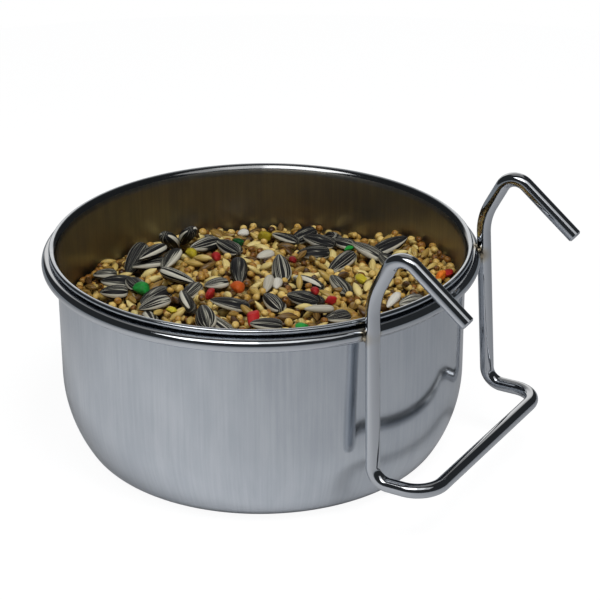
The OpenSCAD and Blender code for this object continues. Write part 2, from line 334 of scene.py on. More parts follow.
def cup_profile():
    """The sheet's half section from the middle of the underside round to the inside.

    Also returns how many of its points lie outside.
    """
    belly_turn = math.acos((BELLY_R - (CUP_R - BASE_R)) / (BELLY_R - HEEL_R))
    belly_z = HEEL_R + (BELLY_R - HEEL_R) * math.sin(belly_turn)
    belly_angle = math.degrees(belly_turn)
    flare_turn, curl_turn = math.radians(FLARE_TURN), math.radians(CURL_TURN)
    flare_r = CUP_R - SHEET_T + FLARE_R
    curl_r = flare_r - (FLARE_R - CURL_R) * math.cos(flare_turn)
    lip_r = curl_r - (CURL_R - LIP_R) * math.cos(curl_turn)
    lip_z = CUP_H - LIP_R
    curl_z = lip_z - (CURL_R - LIP_R) * math.sin(curl_turn)
    flare_z = curl_z - (FLARE_R - CURL_R) * math.sin(flare_turn)
    # Where the outside of the curl runs into the lip, as an angle at each one's middle
    apart, outer = CURL_R - LIP_R, CURL_R - SHEET_T
    at_curl = math.degrees(math.acos((apart ** 2 + outer ** 2 - LIP_R ** 2) / (2 * apart * outer)))
    at_lip = math.degrees(math.acos((apart ** 2 + LIP_R ** 2 - outer ** 2) / (2 * apart * LIP_R)))
    heel, belly = (BASE_R, HEEL_R), (CUP_R - BELLY_R, belly_z)
    flare, curl, lip = (flare_r, flare_z), (curl_r, curl_z), (lip_r, lip_z)
    flare_end, curl_end = 180 - FLARE_TURN, 180 - CURL_TURN
    walls = np.linspace(belly_z, flare_z, WALL_POINTS)[1:-1]
    outside = [(BASE_R * share, 0) for share in BASE_SHARES]
    outside += arc(heel, HEEL_R, -90, -belly_angle, HEEL_POINTS)
    outside += arc(belly, BELLY_R, -belly_angle, 0, BELLY_POINTS)[1:]
    outside += [(CUP_R, z) for z in walls]
    outside += arc(flare, FLARE_R - SHEET_T, 180, flare_end, FLARE_OUTER_POINTS)
    outside += arc(curl, outer, flare_end, curl_end + at_curl, CURL_OUTER_POINTS)[1:]
    outside += arc(lip, LIP_R, -CURL_TURN - at_lip, curl_end, LIP_POINTS)[1:]
    within = arc(curl, CURL_R, curl_end, flare_end, CURL_POINTS)[1:]
    within += arc(flare, FLARE_R, flare_end, 180, FLARE_POINTS)[1:]
    within += [(CUP_R - SHEET_T, z) for z in walls[::-1]]
    within += arc(belly, BELLY_R - SHEET_T, 0, -belly_angle, BELLY_POINTS)
    within += arc(heel, HEEL_R - SHEET_T, -belly_angle, -90, HEEL_POINTS)[1:]
    within += [(BASE_R * share, SHEET_T) for share in BASE_SHARES[::-1]]
    return outside + within, len(outside)


def add_cup():
    """The cup's sheet, with a polished rim and a rougher inside. The steel of the rim's inside and
    of the cup's inside is darker than the outside's: painted shade.
    """
    profile, outside_count = cup_profile()
    turns = np.arange(CUP_SEGMENTS) / CUP_SEGMENTS * 2 * math.pi
    points = [(0, 0, profile[0][1])]
    for r, z in profile[1:-1]:
        points += [(r * math.cos(t), r * math.sin(t), z) for t in turns]
    points.append((0, 0, profile[-1][1]))
    faces = spun_faces(len(profile) - 2, CUP_SEGMENTS)
    outside = bowl_steel("bowl_steel", (0.57, 0.605, 0.65), (0.652, 0.683, 0.722), 0.1, 0.17)
    # Painted shade: the polished inside of the curl has darker steel than the outside, for the
    # dark band below the lip
    rim = bowl_steel("bowl_rim_steel_painted_shade", (0.35, 0.355, 0.36), (0.4, 0.405, 0.41), 0.1, 0.14)
    # Painted shade: the inside's steel is much darker than the outside's, for the shade inside the
    # cup
    inside = bowl_steel("bowl_inside_steel_painted_shade", (0.31, 0.31, 0.295), (0.4, 0.38, 0.33), 0.36, 0.46)
    shell = mesh_piece("bowl_shell", points, faces, "cup", outside, ["bowl"],
                       crease=CUP_CREASE)
    shell.data.materials.append(rim)
    shell.data.materials.append(inside)
    for face, corners in zip(shell.data.polygons, faces):
        row = min(corners) / CUP_SEGMENTS - outside_count + 1
        face.material_index = int(row > 0) + int(row > RIM_ROWS)


# Ring, hanger and welds


ring_low, ring_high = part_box("wire_ring")
RING_Z = (ring_low.z + ring_high.z) / 2
RING_R = 60.5 * MM
RING_STEPS = 360
WIRE_R = 2 * MM
WIRE_SIDES = 40
BEND_STEP = 3
TIP_CHAMFER = 0.4 * MM
HANGER_CREASE = 25
# Corners of half of the hanger's route in millimetres, and the radius of the bend at each
HOOK_TIP = (82.44, 32.65, 68.64)
HOOK_CORNER = (62.33, 32.65, 84.57)
LEG_CORNER = (54.31, 31.95, 69.04)
FOOT_CORNER = (56.31, 34.3, 16.44)
BAR_CORNER = (73.41, 34.3, 16.76)
HALF_ROUTE = [HOOK_TIP, HOOK_CORNER, LEG_CORNER, FOOT_CORNER, BAR_CORNER]
HALF_BENDS = [0, 4.8, 17.9, 4.8, 7.8]
BEAD_R = 2.42 * MM
BEAD_ROWS, BEAD_COLUMNS = 20, 40
# The bead's size between its bumps, and the least and most rise of a bump, as shares of BEAD_R
BEAD_SHARE = 0.96
BEAD_BUMP_RISE = (0.02, 0.07)
BEAD_BUMPS = 14
# The higher, the narrower a bump
BEAD_BUMP_POWER = 12


def hanger_line():
    """Centres, tangents and radii of the hanger's wire from the near tip to the far tip."""
    near = [Vector((x, -y, z)) * MM for x, y, z in HALF_ROUTE]
    far = [Vector((x, y, z)) * MM for x, y, z in HALF_ROUTE]
    route = near + far[::-1]
    bends = [r * MM for r in HALF_BENDS + HALF_BENDS[::-1]]
    first = (route[1] - route[0]).normalized()
    last = (route[-1] - route[-2]).normalized()
    centres, tangents = [route[0], route[0] + first * TIP_CHAMFER], [first, first]
    for i in range(1, len(route) - 1):
        into = (route[i] - route[i - 1]).normalized()
        out = (route[i + 1] - route[i]).normalized()
        angle = into.angle(out)
        axis = into.cross(out).normalized()
        start = route[i] - into * bends[i] * math.tan(angle / 2)
        middle = start + axis.cross(into) * bends[i]
        steps = max(4, round(math.degrees(angle) / BEND_STEP))
        for s in range(steps + 1):
            turn = Matrix.Rotation(angle * s / steps, 3, axis)
            centres.append(middle + turn @ (start - middle))
            tangents.append(turn @ into)
    centres += [route[-1] - last * TIP_CHAMFER, route[-1]]
    tangents += [last, last]
    radii = [WIRE_R] * len(centres)
    radii[0] = radii[-1] = WIRE_R - TIP_CHAMFER
    return centres, tangents, radii


def weld_point(side):
    """The middle of the crossing of a leg and the ring."""
    top, foot = (Vector(corner) * MM for corner in (LEG_CORNER, FOOT_CORNER))
    leg = top + (foot - top) * (RING_Z - top.z) / (foot.z - top.z)
    out = Vector((leg.x, side * leg.y, 0)).normalized()
    middle = (RING_R + leg.x / out.x) / 2
    return Vector((out.x * middle, out.y * middle, RING_Z))


def weld_bead(side, seed):
    """A small uneven bead of weld metal in the corners between the leg and the ring."""
    rng = np.random.default_rng(seed)
    centre = weld_point(side)
    bumps = [
        (Vector(rng.normal(size=3)).normalized(), rng.uniform(*BEAD_BUMP_RISE))
        for _ in range(BEAD_BUMPS)
    ]
    points = []
    for j in range(BEAD_ROWS + 1):
        for k in range(BEAD_COLUMNS):
            # The poles stay a little open, so that no points fall together
            a, b = math.pi * (j + 0.01) / (BEAD_ROWS + 0.02), 2 * math.pi * k / BEAD_COLUMNS
            way = Vector((math.sin(a) * math.cos(b), math.sin(a) * math.sin(b), math.cos(a)))
            lift = sum(rise * max(0, way.dot(bump)) ** BEAD_BUMP_POWER for bump, rise in bumps)
            points.append(centre + way * BEAD_R * (BEAD_SHARE + lift))
    # The rows run downward, so each face is turned round
    faces = [face[:1] + face[:0:-1] for face in band_faces(BEAD_ROWS + 1, BEAD_COLUMNS)]
    faces.append(tuple(range(BEAD_COLUMNS)))
    faces.append(tuple(BEAD_ROWS * BEAD_COLUMNS + k for k in range(BEAD_COLUMNS))[::-1])
    return points, faces


def add_holder():
    """The ring, the hanger and the welds between them."""
    wire, weld = wire_steel(), weld_steel()
    turns = np.linspace(0, 2 * math.pi, RING_STEPS + 1)[:-1]
    centres = [(RING_R * math.cos(t), RING_R * math.sin(t), RING_Z) for t in turns]
    tangents = [(-math.sin(t), math.cos(t), 0) for t in turns]
    points, faces = tube(centres, tangents, [WIRE_R] * RING_STEPS, WIRE_SIDES, closed=True)
    mesh_piece("ring_wire", points, faces, "holder", wire, ["wire_ring"])
    points, faces = tube(*hanger_line(), WIRE_SIDES)
    mesh_piece("hanger_wire", points, faces, "holder", wire, ["wire_hanger"],
               crease=HANGER_CREASE)
    for name, side, seed in (("weld_near", -1, 5), ("weld_far", 1, 6)):
        points, faces = weld_bead(side, seed)
        mesh_piece(name + "_bead", points, faces, "holder", weld, [name])


# Seed heap, kept as a grid of heights on which grains come to lie


HEAP_R = 57.6 * MM
CELL = 0.4 * MM
CELLS = 296
HEAP_EDGE = 39 * MM
CROWN_RISE = 6.5 * MM
BANK_RISE = 8 * MM
BANK_HALF = 42 * MM
BANK_OUT = 5 * MM
BANK_TURN = math.radians(48)
VALLEY = 1.5 * MM
BED_DROP = 1.6 * MM
CROWN_R = (HEAP_R ** 2 + CROWN_RISE ** 2) / (2 * CROWN_RISE)
BANK_R = (BANK_HALF ** 2 + BANK_RISE ** 2) / (2 * BANK_RISE)
BANK_X = (HEAP_R + BANK_OUT) * math.cos(BANK_TURN)
BANK_Y = (HEAP_R + BANK_OUT) * math.sin(BANK_TURN)
BANK_BASE = HEAP_EDGE + BANK_RISE - math.sqrt(BANK_R ** 2 - BANK_OUT ** 2)
# Percentage of the heights below a grain at which it comes to rest
FIRM = 78
# How far round a spot its height is taken, as a share of a grain's half width
SPOT_SHARE = 0.8


def heap_height(x, y):
    """The heap's general shape: a low crown, and a bank against the wall by the far hook."""
    out = np.minimum(x ** 2 + y ** 2, CROWN_R ** 2)
    crown = HEAP_EDGE + CROWN_RISE - CROWN_R + np.sqrt(CROWN_R ** 2 - out)
    away = (x - BANK_X) ** 2 + (y - BANK_Y) ** 2
    bank = BANK_BASE + np.sqrt(np.maximum(BANK_R ** 2 - away, 0))
    return (crown + bank + np.sqrt((crown - bank) ** 2 + VALLEY ** 2)) / 2


rng = np.random.default_rng(17)
axis_cells = (np.arange(CELLS) - CELLS / 2 + 0.5) * CELL
grid_x, grid_y = np.meshgrid(axis_cells, axis_cells, indexing="ij")
surface = heap_height(grid_x, grid_y) - BED_DROP
inside_cup = np.hypot(grid_x, grid_y) < HEAP_R


def unit(v):
    return v / np.linalg.norm(v)


def window(x, y, reach):
    """The cells round a point, and their offsets from it."""
    low_i, low_j = (max(0, int((v - reach) / CELL + CELLS / 2)) for v in (x, y))
    high_i, high_j = (min(CELLS, int((v + reach) / CELL + CELLS / 2) + 2) for v in (x, y))
    cells = (slice(low_i, high_i), slice(low_j, high_j))
    return cells, grid_x[cells] - x, grid_y[cells] - y


def skin(axes, halves, dx, dy):
    """How far an ellipsoid's lower and upper skin lie from its middle, and where it has any."""
    form = axes @ np.diag(1 / np.square(halves)) @ axes.T
    half_b = form[0, 2] * dx + form[1, 2] * dy
    rest = form[0, 0] * dx ** 2 + 2 * form[0, 1] * dx * dy + form[1, 1] * dy ** 2 - 1
    root = half_b ** 2 - form[2, 2] * rest
    covers = root > 0
    root = np.sqrt(np.maximum(root, 0))
    return (-half_b - root) / form[2, 2], (-half_b + root) / form[2, 2], covers


def rest_height(x, y, axes, halves):
    """The middle's height at which an ellipsoid lies on the surface, a little sunk in it."""
    cells, dx, dy = window(x, y, max(halves))
    under, _, covers = skin(axes, halves, dx, dy)
    covers &= inside_cup[cells]
    if not covers.any():
        return None
    return float(np.percentile((surface[cells] - under)[covers], FIRM))


def lay(x, y, z, axes, halves):
    """Adds an ellipsoid to the surface, and returns its middle and axes."""
    cells, dx, dy = window(x, y, max(halves))
    _, over, covers = skin(axes, halves, dx, dy)
    surface[cells] = np.where(covers, np.maximum(surface[cells], z + over), surface[cells])
    return np.array([x, y, z]), axes


def slope_at(x, y, reach):
    """The surface's normal round a point."""
    tiny = 1e-12
    cells, dx, dy = window(x, y, reach)
    z = surface[cells]
    z = z - z.mean()
    fall_x = (dx * z).sum() / max((dx ** 2).sum(), tiny)
    fall_y = (dy * z).sum() / max((dy ** 2).sum(), tiny)
    return unit(np.array([-fall_x, -fall_y, 1.0]))


def lying_axes(along, normal, roll):
    """Long, wide and thin axes of a grain that points along, with its flat side on normal."""
    along = unit(along)
    thin = unit(normal - along * normal.dot(along))
    wide = np.cross(thin, along)
    turned = thin * math.cos(roll) + wide * math.sin(roll)
    return np.stack([along, np.cross(turned, along), turned], axis=1)


def drop(halves, tries, wobble):
    """Drops one grain on the lowest of some random spots."""
    best = None
    for _ in range(tries):
        r = (HEAP_R - halves[0]) * math.sqrt(rng.random())
        turn = rng.random() * 2 * math.pi
        x, y = r * math.cos(turn), r * math.sin(turn)
        cells, _, _ = window(x, y, halves[1] * SPOT_SHARE)
        low = (surface[cells] - heap_height(x, y)).mean()
        if best is None or low < best[0]:
            best = (low, x, y)
    _, x, y = best
    normal = unit(slope_at(x, y, halves[0]) + rng.normal(size=3) * wobble * np.array([1, 1, 0]))
    turn = rng.random() * 2 * math.pi
    along = np.array([math.cos(turn), math.sin(turn), 0.0])
    along = along - normal * normal.dot(along)
    axes = lying_axes(along, normal, rng.normal() * wobble)
    z = rest_height(x, y, axes, halves)
    return None if z is None else lay(x, y, z, axes, halves)


def millet_tone():
    """Mostly even, with a few dark grains."""
    return rng.uniform(-0.1, 1.1) - 0.5 * (rng.random() < 0.06)


# Grains dropped at random: length in millimetres, width and thickness as shares of it, and tone
DROPPED = {
    "millet": dict(
        length=(2, 2.7), width=(0.9, 1), thick=(0.78, 0.92), wobble=0.3, tone=millet_tone),
    "canary": dict(
        length=(4.4, 6.4), width=(0.36, 0.44), thick=(0.3, 0.38), wobble=0.3,
        tone=lambda: rng.uniform(-0.15, 1.15)),
    "sunflower": dict(
        length=(9, 12), width=(0.5, 0.62), thick=(0.3, 0.38), wobble=0.35, tone=rng.random),
}
KINDS = ["millet", "canary", "sunflower", "white", "green", "yellow", "red", "orange"]
# All grains by kind. A grain is its middle, axes, full sizes and tone
grains = {kind: [] for kind in KINDS}


def drop_many(kind, count, tries=4):
    """Drops grains of one kind at random."""
    sizes = DROPPED[kind]
    for _ in range(count):
        length = rng.uniform(*sizes["length"]) * MM
        width = length * rng.uniform(*sizes["width"])
        thick = length * rng.uniform(*sizes["thick"])
        halves = np.array([length, width, thick]) / 2
        found = drop(halves, tries, sizes["wobble"])
        if found:
            grains[kind].append((*found, halves * 2, sizes["tone"]()))


# Grains that the photograph shows


PIXELS_PER_METRE = 3300
SIGHT_TRIES = 12
# Direction of a seed that stands on end: shares of the camera's right, up and back
ON_END = (0.25, 0.35, 0.9)


def lay_seen(px, py, direction, roll, halves):
    """Lays a grain where the photograph shows it, by the line of sight through a pixel."""
    centre = FRAME_PIXELS / 2
    ray = (SIGHT_RIGHT * (px - centre) / FOCAL_PIXELS + SIGHT_UP * (centre - py) / FOCAL_PIXELS
           - SIGHT_BACK)
    axes = lying_axes(direction, np.array([0, 0, 1.0]), roll)
    most = HEAP_R - halves[1]
    z = HEAP_EDGE + CROWN_RISE
    for _ in range(SIGHT_TRIES):
        reach = (z - CAMERA_PLACE.z) / ray.z
        x, y = CAMERA_PLACE.x + ray.x * reach, CAMERA_PLACE.y + ray.y * reach
        r = math.hypot(x, y)
        if r > most:
            x, y = x * most / r, y * most / r
        found = rest_height(x, y, axes, halves)
        if found is None:
            break
        z = found
    return lay(x, y, z, axes, halves)


def seen_direction(turn, span, most):
    """A grain's length and direction in space, from its direction and span in the picture."""
    a, b = math.cos(math.radians(turn)), math.sin(math.radians(turn))
    length = span / PIXELS_PER_METRE * math.hypot(a, b / SIGHT_BACK.z)
    if length <= most:
        depth = -b * SIGHT_UP.z / SIGHT_BACK.z
    else:
        length = most
        seen = span / PIXELS_PER_METRE / most
        a, b = a * seen, b * seen
        depth = -math.copysign(math.sqrt(max(0, 1 - a * a - b * b)), b)
    way = SIGHT_RIGHT * a + SIGHT_UP * b + SIGHT_BACK * depth
    return length, np.array(way.normalized())


def place_seen(kind, px, py, turn, span, tone, most, wide, thin, roll=0):
    """Places one grain that the photograph shows. A span of 0 stands for a seed on its end."""
    if span == 0:
        length = most
        right, up, back = ON_END
        way = (SIGHT_RIGHT * math.cos(math.radians(turn)) * right + SIGHT_UP * up
               + SIGHT_BACK * back)
        way = np.array(way.normalized())
    else:
        length, way = seen_direction(turn, span, most)
    halves = np.array([length, wide, thin]) / 2
    grains[kind].append((*lay_seen(px, py, way, math.radians(roll), halves), halves * 2, tone))


# Striped seeds on top: middle in the picture, direction in degrees from the right, and span
SEEN_SUNFLOWERS = [
    dict(px=171, py=243, turn=180, span=0, tone=0.2),
    dict(px=187, py=243, turn=0, span=0, tone=0.1),
    dict(px=205, py=245, turn=15, span=30, tone=0.9),
    dict(px=228, py=247, turn=-30, span=26, tone=0.4),
    dict(px=150, py=264, turn=10, span=35, tone=0.3),
    dict(px=151, py=253, turn=30, span=26, tone=0.8),
    dict(px=170, py=260, turn=60, span=22, tone=0.7),
    dict(px=105, py=275, turn=0, span=24, tone=0.2),
    dict(px=117, py=282, turn=-3, span=32, tone=0.1),
    dict(px=114, py=292, turn=0, span=27, tone=0.8),
    dict(px=135, py=283, turn=-40, span=18, tone=0.3),
    dict(px=178, py=276, turn=160, span=35, tone=0.85),
    dict(px=155, py=297, turn=27, span=28, tone=0.35),
    dict(px=154, py=304, turn=20, span=28, tone=0.95),
    dict(px=189, py=282, turn=45, span=24, tone=0.2),
    dict(px=187, py=301, turn=-60, span=20, tone=0.05),
    dict(px=216, py=284, turn=10, span=22, tone=0.6),
    dict(px=239, py=272, turn=95, span=26, tone=0.15),
    dict(px=230, py=304, turn=-12, span=38, tone=0.1),
    dict(px=220, py=314, turn=-35, span=40, tone=0.85),
    dict(px=205, py=322, turn=-70, span=22, tone=0.5),
    dict(px=285, py=238, turn=-20, span=27, tone=0.4),
    dict(px=319, py=241, turn=-18, span=33, tone=0.1),
    dict(px=343, py=238, turn=-15, span=24, tone=0.8),
    dict(px=313, py=253, turn=3, span=33, tone=0.1),
    dict(px=341, py=263, turn=38, span=32, tone=0.5),
    dict(px=368, py=251, turn=-28, span=36, tone=0.6),
    dict(px=281, py=268, turn=-80, span=28, tone=0.6),
    dict(px=340, py=285, turn=-50, span=24, tone=0.2),
    dict(px=303, py=298, turn=-15, span=31, tone=0.15),
    dict(px=273, py=302, turn=-45, span=22, tone=0.8),
    dict(px=266, py=324, turn=-5, span=30, tone=0.4),
    dict(px=338, py=317, turn=10, span=22, tone=0.3),
    dict(px=390, py=248, turn=-40, span=24, tone=0.2),
    dict(px=412, py=300, turn=8, span=25, tone=0.85),
]
# White seeds and pellets: the same, with their width
SEEN_WHITES = [
    dict(px=265, py=255, turn=20, span=16, wide=4 * MM),
    dict(px=277, py=275, turn=80, span=9, wide=3.2 * MM),
    dict(px=268, py=284, turn=75, span=16, wide=3 * MM),
    dict(px=393, py=300, turn=48, span=18, wide=2.8 * MM),
    dict(px=319, py=309, turn=0, span=30, wide=2.6 * MM),
    dict(px=243, py=236, turn=10, span=11, wide=3.4 * MM),
]
SEEN_PELLETS = {
    "green": [
        dict(px=142, py=284, turn=20, span=15, wide=3.8 * MM),
        dict(px=238, py=242, turn=0, span=13, wide=2.8 * MM),
        dict(px=349, py=242, turn=30, span=8, wide=2 * MM),
        dict(px=302, py=325, turn=15, span=11, wide=2.6 * MM),
    ],
    "yellow": [
        dict(px=192, py=253, turn=10, span=11, wide=3.1 * MM),
        dict(px=265, py=236, turn=5, span=15, wide=3.4 * MM),
        dict(px=172, py=314, turn=0, span=9, wide=2.4 * MM),
        dict(px=361, py=274, turn=-40, span=11, wide=2.4 * MM),
    ],
    "red": [
        dict(px=216, py=249, turn=0, span=10, wide=3 * MM),
        dict(px=210, py=293, turn=70, span=10, wide=2.4 * MM),
        dict(px=253, py=312, turn=80, span=13, wide=3.4 * MM),
        dict(px=293, py=260, turn=0, span=8, wide=2.2 * MM),
        dict(px=449, py=273, turn=30, span=9, wide=2.6 * MM),
        dict(px=315, py=291, turn=0, span=9, wide=2.4 * MM),
        dict(px=331, py=298, turn=20, span=10, wide=2.6 * MM),
    ],
    "orange": [
        dict(px=238, py=287, turn=5, span=14, wide=3.4 * MM),
        dict(px=441, py=275, turn=60, span=9, wide=2.6 * MM),
    ],
}
SUNFLOWER_MOST = 11.5 * MM
WHITE_MOST = 8.5 * MM
WHITE_THIN = 2.4 * MM
PELLET_MOST = 5 * MM
PELLET_THIN_SHARE = 0.9
# A grain shows if more than this share of it comes this close to the heap's surface
SHOWN_SHARE = 0.06
SHOWN_DEPTH = 0.1 * MM


def is_seen(grain):
    """Whether a grain reaches the heap's surface, so that something of it shows."""
    middle, axes, sizes, _ = grain
    cells, dx, dy = window(middle[0], middle[1], max(sizes) / 2)
    _, over, covers = skin(axes, sizes / 2, dx, dy)
    shows = covers & (middle[2] + over > surface[cells] - SHOWN_DEPTH)
    return bool(shows.sum() > SHOWN_SHARE * covers.sum())


def fill_cup():
    """Drops and lays all grains. What lies lower comes first, and the order of draws counts."""
    drop_many("millet", 700)
    drop_many("canary", 350)
    drop_many("sunflower", 8)
    drop_many("millet", 700)
    drop_many("canary", 300)
    drop_many("sunflower", 4)
    for seen in SEEN_SUNFLOWERS:
        place_seen("sunflower", **seen, most=SUNFLOWER_MOST, wide=rng.uniform(5, 6.2) * MM,
                   thin=rng.uniform(3.2, 4) * MM, roll=rng.normal() * 16)
    for seen in SEEN_WHITES:
        place_seen("white", **seen, tone=rng.random(), most=WHITE_MOST, thin=WHITE_THIN)
    drop_many("millet", 420, tries=10)
    drop_many("canary", 150, tries=10)
    for colour, seen_list in SEEN_PELLETS.items():
        for seen in seen_list:
            place_seen(colour, **seen, tone=rng.random(), most=PELLET_MOST,
                       thin=seen["wide"] * PELLET_THIN_SHARE)
    drop_many("millet", 160, tries=14)
    for kind in DROPPED:
        grains[kind] = [grain for grain in grains[kind] if is_seen(grain)]


# Forms of the grains


def grain_form(rows, columns, width, section=1.0):
    """A closed grain of unit length with its half width by place, and marks along and across."""
    places = (1 - np.cos(np.pi * np.arange(1, rows) / rows)) / 2
    points, marks = [(-0.5, 0, 0)], [(0, 0)]
    for t in places:
        w = width(t)
        for k in range(columns):
            a = 2 * math.pi * k / columns
            rise = math.copysign(abs(math.sin(a)) ** section, math.sin(a))
            points.append((t - 0.5, w * math.cos(a), w * rise))
            marks.append((t, math.cos(a)))
    points.append((0.5, 0, 0))
    marks.append((1, 0))
    return np.array(points), np.array(marks), spun_faces(rows - 1, columns)


def round_width(t):
    return math.sqrt(max(0, t * (1 - t)))


def spindle_width(t):
    return 0.5 * math.sin(math.pi * t) ** 0.8


def kernel_width(t):
    """Pointed at one end and broad at the other, as a sunflower hull is."""
    tip, butt, widest = 0.62, 0.34, 0.646
    return 0.5 * t ** tip * (1 - t) ** butt / (widest ** tip * (1 - widest) ** butt)


CRUMB_FORMS = 5
CRUMB_FACETS = 13
CRUMB_DEPTHS = (0.72, 1.05)
CRUMB_SHARPNESS = 14
CRUMB_LEAST_CUT = 0.8


def crumb_form(seed):
    """An angular crumb: a ball of unit width cut by soft facets that face all ways."""
    facing = np.random.default_rng(seed)
    ways = facing.normal(size=(CRUMB_FACETS, 3))
    ways /= np.linalg.norm(ways, axis=1)[:, None]
    depths = facing.uniform(*CRUMB_DEPTHS, size=CRUMB_FACETS)
    points, marks, faces = grain_form(14, 18, round_width)
    lengths = np.linalg.norm(points, axis=1)
    cuts = np.maximum(points / lengths[:, None] @ ways.T, 0) / depths
    cuts = np.sum(cuts ** CRUMB_SHARPNESS, axis=1) ** (1 / CRUMB_SHARPNESS)
    radii = 0.5 / cuts.clip(CRUMB_LEAST_CUT)
    return points / lengths[:, None] * radii[:, None], marks, faces


# Materials of the grains


def grain_marks(tree):
    """Place along a grain, place across it and tone, from the mesh's marks."""
    mark = tree.add("Attribute", attribute_name="grain")
    return tree.add("SeparateXYZ", mark["Vector"])


def streak_vector(tree, along, across, tone, lengthwise, crosswise, between):
    """Coordinates that stretch a noise into streaks, and differ from grain to grain."""
    scaled = [
        tree.math("MULTIPLY", value, factor)
        for value, factor in ((along, lengthwise), (across, crosswise), (tone, between))
    ]
    return tree.add("CombineXYZ", *scaled)[0]


def grain_material(name, stops, roughness, relief, mottle_scale=None, gloss=0.5):
    """A dry hull whose colour differs from grain to grain, and in fine mottle.

    Without a scale the mottle runs in streaks along the grain.
    """
    material, tree, shader = new_material(name)
    along, across, tone = grain_marks(tree)
    if mottle_scale is None:
        mottle = tree.noise(streak_vector(tree, along, across, tone, 1, 4, 91), 1, 4)
    else:
        mottle = tree.noise(tree.place(), mottle_scale, 4)
    level = tree.math("MULTIPLY_ADD", mottle, 0.5, tree.math("MULTIPLY", tone, 0.5))
    tree.fill(
        shader,
        Base_Color=tree.ramp(level, stops),
        Roughness=roughness,
        Specular_IOR_Level=gloss,
        Normal=tree.bump(mottle, relief),
    )
    return material


def sunflower_hull():
    """Dark hull with pale lengthwise stripes, more of them on some seeds, and pale edges."""
    material, tree, shader = new_material("sunflower_hull")
    along, across, tone = grain_marks(tree)
    streaks = tree.noise(streak_vector(tree, along, across, tone, 0.45, 3.8, 73), 1, 1.5)
    # A pale line runs wherever the noise passes its middle, and is wider for a high tone
    distance = tree.math("ABSOLUTE", tree.math("SUBTRACT", streaks, 0.5))
    line = tree.math("MULTIPLY_ADD", distance, -3, tree.spread(tone, 0.56, 0.68))
    edge = tree.fade(tree.math("ABSOLUTE", across), 0.92, 1, 0, 0.4)
    stops = [
        (0.42, (0.011, 0.011, 0.012)),
        (0.52, (0.04, 0.04, 0.037)),
        (0.56, (0.32, 0.31, 0.25)),
        (0.66, (0.66, 0.64, 0.54)),
    ]
    tree.fill(
        shader,
        Base_Color=tree.ramp(tree.math("ADD", line, edge), stops),
        Roughness=0.45,
        Specular_IOR_Level=0.2,
        Normal=tree.bump(streaks, 0.3),
    )
    return material


MILLET_TINTS = [
    (0.14, (0.05, 0.02, 0.006)), (0.3, (0.29, 0.12, 0.022)), (0.52, (0.55, 0.33, 0.07)),
    (0.78, (0.82, 0.6, 0.2)),
]
CANARY_TINTS = [
    (0.22, (0.07, 0.032, 0.01)), (0.38, (0.31, 0.18, 0.04)), (0.56, (0.56, 0.39, 0.1)),
    (0.76, (0.8, 0.65, 0.26)),
]
WHITE_TINTS = [(0.2, (0.36, 0.33, 0.25)), (0.5, (0.6, 0.57, 0.48)), (0.8, (0.78, 0.76, 0.69))]
# The bed's colour is painted shade: dark for the gaps between the top grains
BED_SHADE_TINTS = [(0.3, (0.03, 0.018, 0.008)), (0.7, (0.16, 0.095, 0.035))]
PELLET_TINTS = {
    "green": [(0.25, (0.003, 0.06, 0.012)), (0.7, (0.02, 0.34, 0.05))],
    "yellow": [(0.25, (0.3, 0.22, 0.01)), (0.7, (0.72, 0.62, 0.04))],
    "red": [(0.25, (0.1, 0.006, 0.006)), (0.7, (0.5, 0.02, 0.02))],
    "orange": [(0.25, (0.5, 0.08, 0.008)), (0.7, (0.9, 0.22, 0.02))],
}
MOTTLE_SCALE = 1300


# Pieces of the seed mix


BED_RINGS = 24
BED_SEGMENTS = 96
BED_LOWEST = 8 * MM
BED_FLOOR_R = 44 * MM
# Radius and height of the bed's side, from the floor of the heap up to its edge
BED_SIDE = [(52 * MM, 14 * MM), (56.4 * MM, 22 * MM), (57.2 * MM, 30 * MM)]
# The bed's top stays this share inside the heap's edge
BED_SHARE = 0.998
BED_LUMP = 0.25 * MM
GRAIN_CREASE = 60


def add_seed_bed():
    """The grains below the top ones: a rough closed heap that fills the cup's bottom, painted dark
    as the shade in the gaps between the top grains.
    """
    turns = [2 * math.pi * k / BED_SEGMENTS for k in range(BED_SEGMENTS)]
    side = [(share * BED_FLOOR_R, BED_LOWEST) for share in np.linspace(0, 1, 4)[1:]] + BED_SIDE
    points = [(0, 0, BED_LOWEST)]
    for r, z in side:
        points += [(r * math.cos(a), r * math.sin(a), z) for a in turns]
    for j in range(BED_RINGS):
        r = HEAP_R * (1 - j / BED_RINGS) * BED_SHARE
        for a in turns:
            x, y = r * math.cos(a), r * math.sin(a)
            lump = BED_LUMP * math.sin(x * 2100 + 3 * math.sin(y * 900)) * math.sin(y * 1900)
            points.append((x, y, float(heap_height(x, y)) - BED_DROP + lump))
    points.append((0, 0, float(heap_height(0, 0)) - BED_DROP))
    faces = spun_faces(len(side) + BED_RINGS, BED_SEGMENTS)
    # Painted shade: the bed is coloured dark for the shade between the grains above it
    material = grain_material("seed_heap", BED_SHADE_TINTS, 0.7, 0.25, 900)
    mesh_piece("seed_bed_heap", points, faces, "cup", material, ["seed_bed"],
               marks=np.zeros((len(points), 3)) + 0.5)


def grain_piece(name, forms, kind, node, material):
    """One mesh of all grains of a kind, which take the forms in turn."""
    points, marks, faces, first = [], [], [], 0
    for n, (middle, axes, sizes, tone) in enumerate(grains[kind]):
        base_points, base_marks, base_faces = forms[n % len(forms)]
        points.append(middle + (base_points * sizes) @ axes.T)
        marks.append(np.column_stack([base_marks, np.full(len(base_points), tone)]))
        faces += [tuple(i + first for i in face) for face in base_faces]
        first += len(base_points)
    mesh_piece(name, np.concatenate(points), faces, "cup", material, [node],
               crease=GRAIN_CREASE, marks=np.concatenate(marks))


